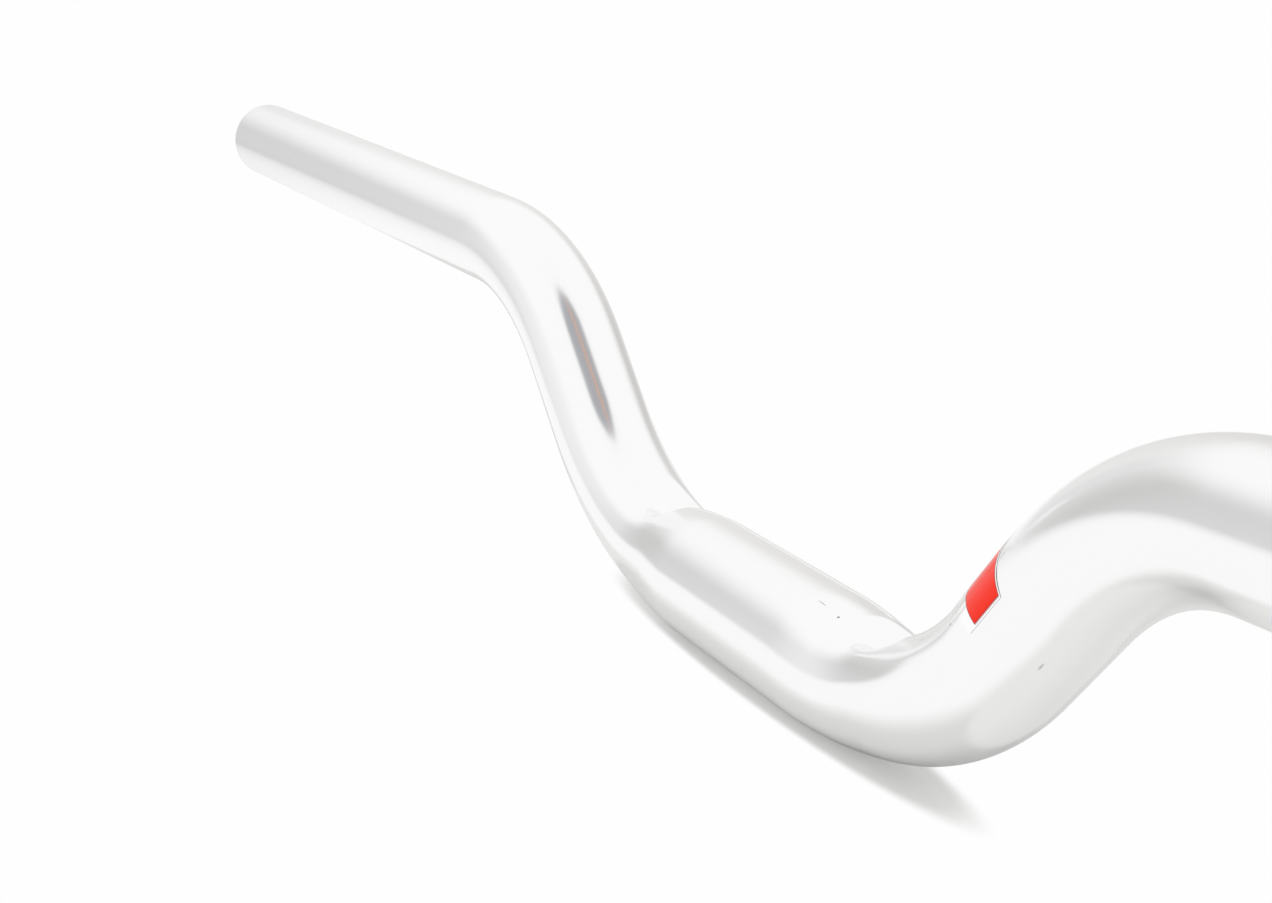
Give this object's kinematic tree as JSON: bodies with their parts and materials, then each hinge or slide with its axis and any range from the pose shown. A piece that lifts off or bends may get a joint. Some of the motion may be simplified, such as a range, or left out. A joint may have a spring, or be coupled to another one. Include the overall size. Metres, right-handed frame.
{
  "type": "riser handlebar",
  "caption": "Bicycle handlebar bent from one aluminium tube, with a wider clamp section, two rises and swept-back grip sections.",
  "frame": {"origin": "centre of the clamp section, on the tube's axis", "axes": "+X along the bar towards the labelled side, +Z the way the bar rises, -Y towards the rider, where the grips sweep back"},
  "size_m": [0.6224, 0.0456, 0.0921],
  "materials": {
    "polished_aluminium": "bright polished and clear anodised",
    "label_film": "glossy printed film"
  },
  "bodies": {
    "root": {"handlebar_tube": "polished_aluminium", "label": "label_film"}
  },
  "joints": []
}
